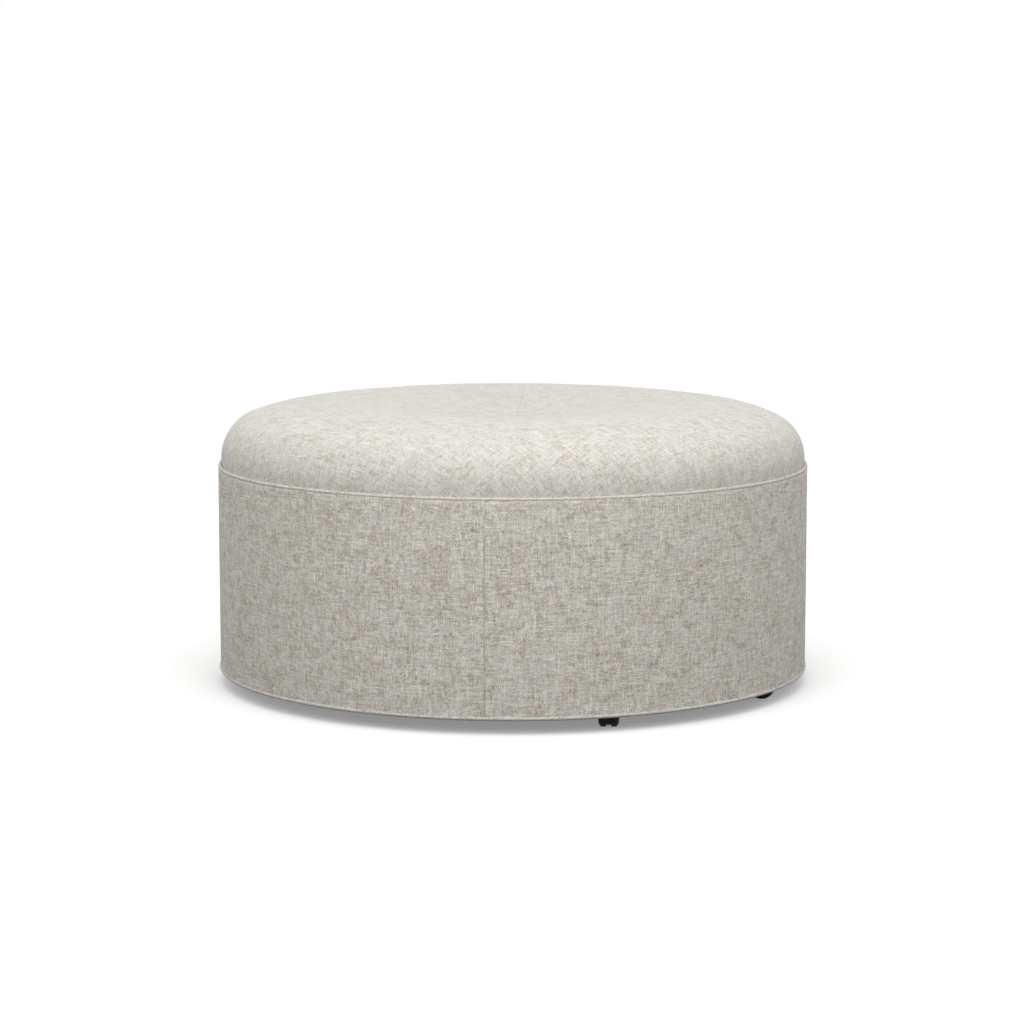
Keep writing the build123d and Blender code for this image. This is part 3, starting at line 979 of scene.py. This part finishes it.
def makePiping(name, node, circle, centre, corners, seed, hung):
    # corners are those of its sewn edge in section, and hung is 1 where it follows the top edge, or else 0
    def clothPlace(angle, number):
        return angle * drumRadius, number

    flange = makeLathe(
        name + "Flange", None, "linen_cloth", piping["flangeColumns"], corners, clothPlace=clothPlace)

    # a flat grid is rolled into the piping, with the cloth's map laid on it before it closes
    grove = Grove(name)
    radius = grove.take("Radius", piping["radius"])
    path = grove.take("Path Radius", circle)
    height = grove.take("Height", centre)
    wander = grove.take("Wander", piping["wander"])
    hangAll = grove.take("Hang", edgeHang["all"] * hung)
    hangSides = grove.take("Hang at Sides", edgeHang["sides"] * hung)
    swell = grove.take("Swell at Join", piping["joinSwell"])
    reach = grove.take("Length of Join", piping["joinLength"])
    columns = grove.take("Columns", piping["columns"] + 1)
    sides = grove.take("Sides", piping["sides"] + 1)
    start = grove.take("Start", seamAngle)
    grid = grove.node("MeshGrid", {}, {0: 1.0, 1: 1.0, 2: columns, 3: sides})
    x, y, _ = grove.split(grove.node("InputPosition"))
    along, around = x + 0.5, y + 0.5
    angle = along * fullTurn + start
    turn = around * -fullTurn
    cosine, sine = grove.maths("COSINE", angle), grove.maths("SINE", angle)

    def waver(size, shift):
        # smooth and random along the piping, from -1 to 1
        scale = path / (size * mm)
        return grove.noise(cosine * scale, sine * scale, shift) * 2.0 - 1.0

    # one end is folded over the other just past the seam, where the piping is a little thicker
    thickLength, asideLength, upLength = piping["wanderLengths"]
    past = along * (fullTurn * circle) / reach
    joined = grove.maths("EXPONENT", grove.maths("POWER", past - 1.0, 4.0) * -1.0)
    thick = joined * swell + radius
    thick = waver(thickLength, seed) * piping["fineWander"] + thick
    out = thick * grove.maths("COSINE", turn) + path
    out = waver(asideLength, seed + 4) * wander + out
    up = thick * grove.maths("SINE", turn) + height
    up = waver(upLength, seed + 9) * wander + up
    aside = grove.maths("SINE", angle - frontAngle)
    up = up - (aside * aside * hangSides + hangAll)

    # cut on the bias, so the yarns cross the piping at a slant
    forward = along * (fullTurn * circle * sqrt(0.5)) + seed
    across = around * (fullTurn * piping["radius"] * sqrt(0.5))
    cloth = grove.vector(forward - across, forward + across)
    mapped = grove.node("StoreNamedAttribute", {"data_type": "FLOAT2", "domain": "CORNER"},
                        {"Geometry": grid, "Name": "clothMetres", 3: cloth})
    spot = grove.vector(out * cosine, out * sine, up)
    rolled = grove.node("SetPosition", {}, {"Geometry": mapped, "Position": spot})
    closed = grove.node("MergeByDistance", {}, {"Geometry": rolled, "Distance": piping["mergeWithin"]})
    smooth = grove.node("SetShadeSmooth", {}, {"Geometry": closed, "Shade Smooth": True})
    sewn = grove.node("ObjectInfo", {}, {"Object": flange}, 4)
    # the piping takes the shaded copy of the cloth
    piece = grove.grow(name, grove.node("JoinGeometry", {}, {0: [sewn, smooth]}), pipingLinenShadedCopy)
    bpy.data.objects.remove(flange)
    settle(piece, node)


def makeBothPipings():
    tuck, strip, foot = crown["tuckRadius"], piping["strip"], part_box("upper_welt")[0].z
    # the sewn edge hangs from inside the upper piping
    corners = [(tuck, foot), (strip, foot), (strip, upperBead), (tuck, upperBead)]
    makePiping("upperPiping", "upper_welt", drumRadius - piping["upperInset"], upperBead, corners, 2.0, 1.0)
    # that of the lower one is turned in under the wall and up inside it
    high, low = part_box("lower_welt")[1].z, bandBottom - band["cloth"]
    wall, inside = piping["lining"], piping["lining"] - band["cloth"]
    circle = drumRadius - piping["lowerInset"]
    corners = [(inside, low), (circle, low), (circle, bandBottom)]
    corners += [(wall, bandBottom), (wall, high), (inside, high)]
    makePiping("lowerPiping", "lower_welt", circle, lowerBead, corners, 6.0, 0.0)


makeBothPipings()
print("piping made")


# wadding behind the band

wadding = {
    "thick": 2.0 * mm,
    "rows": 16,
    "columns": 720,
    "seamWidth": 4.0 * mm,  # of the groove that the band's seam presses into it
    "lump": 0.1 * mm,
    "lumpLength": 30.0 * mm,
}


def makeWadding():
    low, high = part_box("side_wadding")
    outer = high.x
    inner = outer - wadding["thick"]
    rows = wadding["rows"]
    outline = [(inner, high.z), (inner, low.z), (outer, low.z)]
    outline += [(outer, low.z + (high.z - low.z) * part / rows) for part in range(1, rows + 1)]

    def bend(number, angle):
        radius, height = outline[number]
        aside = drumRadius * abs(remainder(2 * (angle - seamAngle), fullTurn)) / 2
        if radius > inner:
            radius -= hump(band["seamDepth"], aside, wadding["seamWidth"])
            radius -= wadding["lump"] * (1 + wobble(angle, height, wadding["lumpLength"], 29.0))
        return polar(radius, angle, height)

    piece = makeLathe("sideWadding", "side_wadding", "polyester_wrap", wadding["columns"], outline, bend)


makeWadding()
print("wadding made")


# the black cloth underneath

dustCloth = {
    "sag": 3.0 * mm,
    "ringWidth": 96.0 * mm,  # of the wood that it is stapled to
    "creases": (0.6, 120, 43.0),
    "pull": 0.25 * mm,  # at the staples
    "pullReach": 30.0 * mm,
    "rings": 60,
    "columns": 180,
}
staples = {
    "count": 72,
    "inset": 8.0 * mm,  # from the cloth's edge
    "span": 10.0 * mm,
    "wire": 1.2 * mm,
    "thick": 0.6 * mm,
    "sunk": 0.1 * mm,
    "skew": radians(14),  # the most that one is turned
    "seed": 7,
}


def makeDustCloth():
    low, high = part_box("dust_cover")
    edge = high.x
    ringInner = edge - dustCloth["ringWidth"]
    rings, columns = dustCloth["rings"], dustCloth["columns"]

    def heightAt(radius, angle):
        inside = max(0.0, 1 - (radius / ringInner) ** 2)
        crease = waves(dustCloth["creases"], angle, radius) * mm * inside
        near = max(0.0, 1 - (edge - radius) / dustCloth["pullReach"])
        pull = cos(angle * staples["count"]) * dustCloth["pull"] * near
        return low.z - dustCloth["sag"] * inside + crease - abs(pull)

    points = []
    for rise in (0.0, high.z - low.z):
        points.append((0, 0, heightAt(0.0, 0.0) + rise))
        for ring in range(1, rings + 1):
            radius = edge * ring / rings
            for column in range(columns):
                angle = fullTurn * column / columns
                points.append(polar(radius, angle, heightAt(radius, angle) + rise))
    lower = [list(reversed(face)) for face in disc(rings, columns)]
    last = rings * columns
    loop = list(range(last, last - columns, -1))
    piece = makeSheet("dustCloth", "dust_cover", "black_cambric", points, lower, loop)


makeDustCloth()
print("dust cloth made")


def makeStaples():
    low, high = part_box("dust_cover")
    grove = Grove("stapleRing")
    size = grove.takeAll(staples)
    count, skew = size["count"], size["skew"]
    bar = grove.node("MeshCube", {}, {"Size": grove.vector(size["span"], size["wire"], size["thick"])})
    ring = grove.node("MeshCircle", {}, {"Vertices": count, "Radius": high.x - size["inset"]})
    turn = grove.node("InputIndex") * fullTurn / count
    random = grove.node("FunctionNodeRandomValue", {"data_type": "FLOAT"},
                        {2: skew * -1.0, 3: skew, 8: size["seed"]}, 1)
    many = grove.scattered(ring, bar, grove.vector(z=turn + pi / 2 + random))
    placed = grove.raised(many, low.z - size["thick"] * 0.5 + size["sunk"])
    piece = grove.grow("staples", placed, materials["zinc_steel"])
    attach(piece, rootBody)


makeStaples()
print("staples made")


screws = {
    "headRadius": 3.6 * mm,
    "headHeight": 2.0 * mm,
    "headEdge": 0.9 * mm,  # height of the head's straight part
    "headTop": 2.3 * mm,  # radius of its flat top
    "recess": 4.0 * mm,
    "recessWidth": 0.9 * mm,
    "recessDepth": 1.2 * mm,
    "core": 1.6 * mm,
    "length": 14.0 * mm,
    "pitch": 1.6 * mm,
    "thread": 0.5 * mm,
    "spread": 28.0 * mm,  # from one screw of a plate to the next, both ways
    "seed": 3,
}


def makeScrews():
    low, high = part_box("caster_2_plate")
    grove = Grove("plateScrews")
    size = grove.takeAll(screws)
    plates = [grove.take("Plates Along", low.x + high.x), grove.take("Plates Across", low.y + high.y)]
    seat = grove.take("Seat Height", low.z)

    # the head, which looks up here and is turned over later
    wide, edge, top = size["headRadius"], size["headEdge"], size["headHeight"]
    base = grove.node("MeshCylinder", {}, {"Vertices": 32, "Radius": wide, "Depth": edge})
    sloped = grove.node("MeshCone", {}, {"Vertices": 32, "Radius Top": size["headTop"], "Radius Bottom": wide,
                                         "Depth": top - edge})
    head = grove.solid("UNION", {1: [grove.raised(base, edge * 0.5), grove.raised(sloped, edge)]})
    slots = []
    for long, narrow in (("recess", "recessWidth"), ("recessWidth", "recess")):
        box = grove.vector(size[long], size[narrow], size["recessDepth"] * 2.0)
        slots.append(grove.raised(grove.node("MeshCube", {}, {"Size": box}), top))
    head = grove.solid("DIFFERENCE", {0: head, 1: slots})

    # the threaded shank
    core, length, pitch = size["core"], size["length"], size["pitch"]
    shank = grove.node("MeshCylinder", {}, {"Vertices": 20, "Radius": core, "Depth": length})
    shank = grove.raised(shank, length * -0.5)
    turns = length / pitch - 1.0
    helix = grove.node("CurveSpiral", {}, {"Resolution": 16, "Rotations": turns, "Start Radius": core,
                                           "End Radius": core, "Height": turns * pitch * -1.0})
    ridge = grove.node("CurvePrimitiveCircle", {}, {"Resolution": 3, "Radius": size["thread"]})
    wound = grove.node("CurveToMesh", {}, {"Curve": helix, "Profile Curve": ridge, "Fill Caps": True})
    whole = grove.node("JoinGeometry", {}, {0: [grove.raised(wound, pitch * -0.5), shank, head]})
    screw = grove.node("Transform", {}, {"Geometry": whole, "Rotation": (pi, 0.0, 0.0)})

    # one at each corner of each plate
    corners = grove.node("MeshGrid", {}, {0: plates[0], 1: plates[1], 2: 2, 3: 2})
    holes = grove.node("MeshGrid", {}, {0: size["spread"], 1: size["spread"], 2: 2, 3: 2})
    places = grove.node("RealizeInstances", {}, {"Geometry": grove.scattered(corners, holes)})
    driven = grove.node("FunctionNodeRandomValue", {"data_type": "FLOAT"},
                        {2: 0.0, 3: pi, 7: grove.node("InputIndex"), 8: size["seed"]}, 1)
    many = grove.scattered(places, screw, grove.vector(z=driven))
    piece = grove.grow("plateScrews", grove.raised(many, seat), materials["zinc_steel"])
    settle(piece, "caster_screws")


makeScrews()
print("screws made")


# floor and light

light = {
    "worldStrength": 0.93,
    "floorColour": 0.08,
    "floorSeen": 0.85,  # what the camera sees, so that the open floor is white
    "floorGlow": 0.25,  # and its shadow isn't deep
    "floorSize": 6.0,
    "aimHeight": 0.25,
}
lamps = {
    "overhead": {"place": (0.69, -0.58, 2.3), "size": 2.2, "watts": 8.7},
    "front": {"place": (1.15, -1.0, 1.1), "size": 1.2, "watts": 4.6},
}


def makeFloor():
    half = light["floorSize"] / 2
    points = [(-half, -half, 0), (half, -half, 0), (half, half, 0), (-half, half, 0)]
    floor = addMesh("floor", points, [[0, 1, 2, 3]])
    paint = Paint("floorPaint")
    bounced = paint.node("BsdfDiffuse", {}, {"Color": (light["floorColour"],) * 3})
    seen = paint.node("BsdfDiffuse", {}, {"Color": (light["floorSeen"],) * 3})
    glow = paint.node("Emission", {}, {"Strength": light["floorGlow"]})
    seen = paint.node("AddShader", {}, {0: seen, 1: glow})
    rays = paint.node("LightPath")
    seenRays = rays + rays.output("Is Glossy Ray") + rays.output("Is Transmission Ray")
    mixed = paint.node("MixShader", {}, {0: seenRays, 1: bounced, 2: seen})
    floor.data.materials.append(paint.close(mixed))


def makeWorld():
    # the camera sees it at full strength, white
    world = bpy.data.worlds.new("studio")
    scene.world = world
    world.use_nodes = True
    nodes = Nodes(world.node_tree)
    soft = nodes.node("Background", {}, {"Color": (1, 1, 1), "Strength": light["worldStrength"]})
    seen = nodes.node("Background", {}, {"Color": (1, 1, 1)})
    mixed = nodes.node("MixShader", {}, {0: nodes.node("LightPath"), 1: soft, 2: seen})
    nodes.node("OutputWorld", {}, {"Surface": mixed})


def makeLamps():
    for name, lamp in lamps.items():
        data = bpy.data.lights.new(name, "AREA")
        data.shape = "DISK"
        data.size = lamp["size"]
        data.energy = lamp["watts"]
        made = addObject(name, data)
        made.location = lamp["place"]
        aim = Vector((0, 0, light["aimHeight"])) - Vector(lamp["place"])
        made.rotation_euler = aim.to_track_quat("-Z", "Y").to_euler()
        made.visible_camera = False


makeFloor()
makeWorld()
makeLamps()
print("floor and light made")
